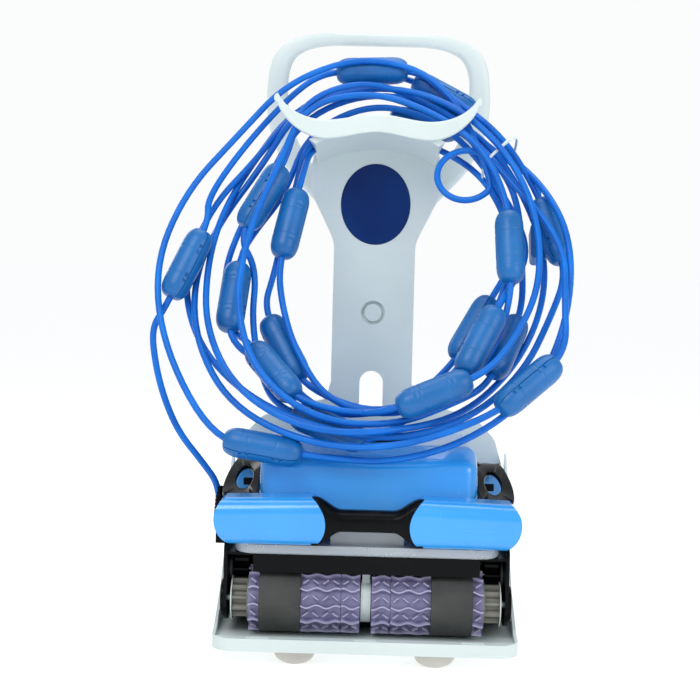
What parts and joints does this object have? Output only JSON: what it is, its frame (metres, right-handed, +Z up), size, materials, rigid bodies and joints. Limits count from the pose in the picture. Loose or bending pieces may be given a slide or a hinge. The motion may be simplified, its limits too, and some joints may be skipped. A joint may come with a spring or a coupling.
{
  "type": "robotic pool cleaner on a trolley",
  "caption": "Robotic pool cleaner with brush rollers, standing in a wheeled trolley whose mast carries its coiled floating cable on a cradle.",
  "frame": {"origin": "on the ground, under the middle of the trolley's box", "axes": "+Z up, the front faces -Y, +X to the viewer's right"},
  "size_m": [0.6581, 0.56, 0.938],
  "materials": {
    "white_plastic": "satin",
    "foot_rubber": "matte",
    "navy_gloss": "gloss",
    "bright_steel": "satin",
    "azure_gloss": "gloss",
    "black_plastic": "satin",
    "milky_plastic": "gloss",
    "lilac_brush": "satin",
    "charcoal_foam": "matte",
    "grey_plastic": "satin",
    "cable_jacket": "satin",
    "cable_bundle": "satin",
    "float_plastic": "satin",
    "grey_tyre": "matte"
  },
  "bodies": {
    "caddy": {"caddy_tub": "white_plastic", "upper_mast": "white_plastic", "cable_cradle": "white_plastic", "handle_hoop": "white_plastic", "badge_disc": "navy_gloss", "front_feet": "foot_rubber", "wheel_axle": "bright_steel", "axle_caps": "bright_steel", "mast_screws": "bright_steel"},
    "cleaner": {"chassis": "black_plastic", "bottom_door": "black_plastic", "clear_housing": "milky_plastic", "top_cover": "azure_gloss", "outlet_grille": "black_plastic", "front_left_pontoon": "azure_gloss", "front_right_pontoon": "azure_gloss", "rear_left_pontoon": "azure_gloss", "rear_right_pontoon": "azure_gloss", "front_handle": "black_plastic", "rear_handle": "black_plastic", "side_rails": "azure_gloss", "left_side_frame": "black_plastic", "right_side_frame": "black_plastic", "left_side_plate": "black_plastic", "right_side_plate": "black_plastic", "roller_end_caps": "black_plastic", "roller_axles": "bright_steel", "center_bearings": "white_plastic", "gear_shafts": "bright_steel", "drive_belts": "grey_tyre", "motor_unit": "grey_plastic", "filter_baskets": "white_plastic", "body_screws": "bright_steel", "cable_gland": "black_plastic", "cable_lead": "cable_jacket", "cable_coil": "cable_bundle", "cable_plug": "float_plastic"},
    "lock_button": {"lock_button": "white_plastic", "lock_spring": "bright_steel"},
    "left_wheel": {"left_wheel_hub": "white_plastic", "left_tyre": "grey_tyre"},
    "right_wheel": {"right_wheel_hub": "white_plastic", "right_tyre": "grey_tyre"},
    "impeller": {"impeller": "grey_plastic"},
    "front_left_roller": {"front_left_roller_core": "grey_plastic", "front_left_brush": "lilac_brush", "front_left_sleeve": "charcoal_foam"},
    "front_left_drive_gear": {"front_left_drive_gear": "black_plastic"},
    "rear_left_roller": {"rear_left_roller_core": "grey_plastic", "rear_left_brush": "lilac_brush", "rear_left_sleeve": "charcoal_foam"},
    "rear_left_drive_gear": {"rear_left_drive_gear": "black_plastic"},
    "front_right_roller": {"front_right_roller_core": "grey_plastic", "front_right_brush": "lilac_brush", "front_right_sleeve": "charcoal_foam"},
    "front_right_drive_gear": {"front_right_drive_gear": "black_plastic"},
    "rear_right_roller": {"rear_right_roller_core": "grey_plastic", "rear_right_brush": "lilac_brush", "rear_right_sleeve": "charcoal_foam"},
    "rear_right_drive_gear": {"rear_right_drive_gear": "black_plastic"}
  },
  "joints": [
    {"name": "cleaner_lift", "type": "slide", "parent": "caddy", "child": "cleaner", "axis": [0, 0, 1], "range_m": [0, 0.25]},
    {"name": "lock_button_press", "type": "slide", "parent": "caddy", "child": "lock_button", "axis": [0, 1, 0], "range_m": [0, 0.005], "stiffness_N_per_m": 600, "springref_m": -0.003, "deforming": ["lock_spring"]},
    {"name": "left_wheel_spin", "type": "hinge", "parent": "caddy", "child": "left_wheel", "pos_m": [-0.168, 0.215, 0.065], "axis": [1, 0, 0], "continuous": true},
    {"name": "right_wheel_spin", "type": "hinge", "parent": "caddy", "child": "right_wheel", "pos_m": [0.168, 0.215, 0.065], "axis": [1, 0, 0], "continuous": true},
    {"name": "impeller_spin", "type": "hinge", "parent": "cleaner", "child": "impeller", "pos_m": [0, -0.0675, 0.27], "axis": [0, 0, 1], "continuous": true},
    {"name": "front_left_roller_spin", "type": "hinge", "parent": "cleaner", "child": "front_left_roller", "pos_m": [-0.1, -0.205, 0.079], "axis": [1, 0, 0], "continuous": true},
    {"name": "front_left_drive_gear_spin", "type": "hinge", "parent": "cleaner", "child": "front_left_drive_gear", "pos_m": [-0.18, -0.18327, 0.11663], "axis": [1, 0, 0], "continuous": true},
    {"name": "rear_left_roller_spin", "type": "hinge", "parent": "cleaner", "child": "rear_left_roller", "pos_m": [-0.1, 0.07, 0.079], "axis": [1, 0, 0], "continuous": true},
    {"name": "rear_left_drive_gear_spin", "type": "hinge", "parent": "cleaner", "child": "rear_left_drive_gear", "pos_m": [-0.18, 0.04827, 0.11663], "axis": [1, 0, 0], "continuous": true},
    {"name": "front_right_roller_spin", "type": "hinge", "parent": "cleaner", "child": "front_right_roller", "pos_m": [0.1, -0.205, 0.079], "axis": [1, 0, 0], "continuous": true},
    {"name": "front_right_drive_gear_spin", "type": "hinge", "parent": "cleaner", "child": "front_right_drive_gear", "pos_m": [0.18, -0.18327, 0.11663], "axis": [1, 0, 0], "continuous": true},
    {"name": "rear_right_roller_spin", "type": "hinge", "parent": "cleaner", "child": "rear_right_roller", "pos_m": [0.1, 0.07, 0.079], "axis": [1, 0, 0], "continuous": true},
    {"name": "rear_right_drive_gear_spin", "type": "hinge", "parent": "cleaner", "child": "rear_right_drive_gear", "pos_m": [0.18, 0.04827, 0.11663], "axis": [1, 0, 0], "continuous": true}
  ],
  "couplings": [
    {"joint": "front_left_drive_gear_spin", "follows": "front_left_roller_spin", "ratio": -1.25},
    {"joint": "rear_left_roller_spin", "follows": "front_left_roller_spin", "ratio": 1},
    {"joint": "rear_left_drive_gear_spin", "follows": "front_left_roller_spin", "ratio": -1.25},
    {"joint": "front_right_drive_gear_spin", "follows": "front_right_roller_spin", "ratio": -1.25},
    {"joint": "rear_right_roller_spin", "follows": "front_right_roller_spin", "ratio": 1},
    {"joint": "rear_right_drive_gear_spin", "follows": "front_right_roller_spin", "ratio": -1.25}
  ]
}
